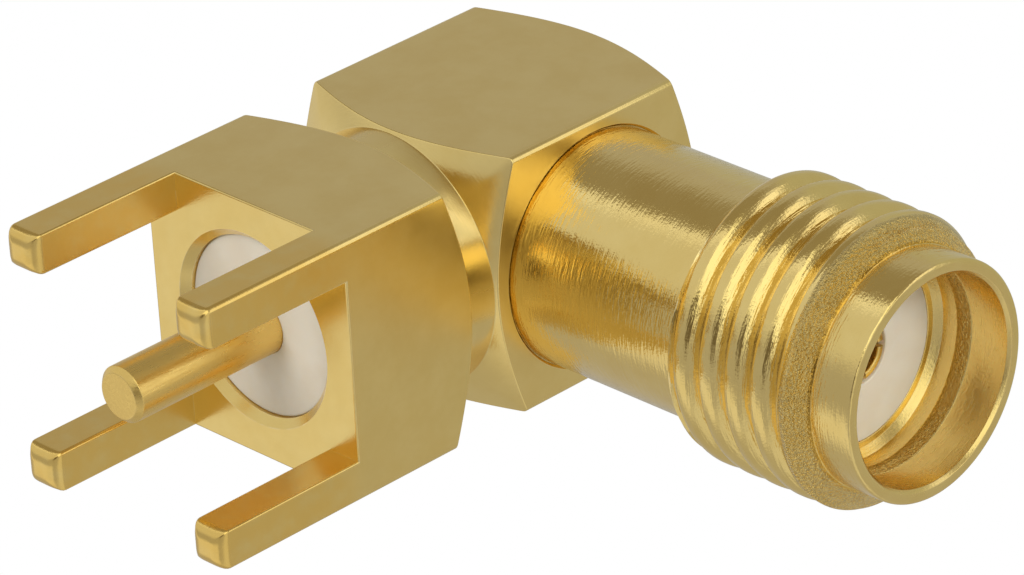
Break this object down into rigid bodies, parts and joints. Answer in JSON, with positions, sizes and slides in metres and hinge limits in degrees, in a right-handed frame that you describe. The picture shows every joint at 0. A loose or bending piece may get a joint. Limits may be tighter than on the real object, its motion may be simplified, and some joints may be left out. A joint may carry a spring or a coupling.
{
  "type": "right-angle coaxial board jack",
  "caption": "Gold-plated right-angle coaxial jack with an outside-threaded barrel, a socket contact, and legs and a pin for soldering through a circuit board.",
  "frame": {"origin": "on the solder pin's axis, in the plane of the board seat", "axes": "+Z away from the board, -Z the way the legs and the solder pin go into it, +X along the barrel towards the mating plug, +Y completes the right-handed frame"},
  "size_m": [0.0154, 0.0064, 0.0143],
  "materials": {
    "gold_plate": "gold flash over brass, turned and milled, bright",
    "gold_contact": "gold plate, turned, bright",
    "ptfe": "turned, satin, slightly waxy"
  },
  "bodies": {
    "root": {"elbow_body": "gold_plate", "threaded_barrel": "gold_plate", "end_cap": "gold_plate", "socket_contact": "gold_contact", "solder_pin": "gold_contact", "front_insulator": "ptfe", "tail_insulator": "ptfe"}
  },
  "joints": []
}
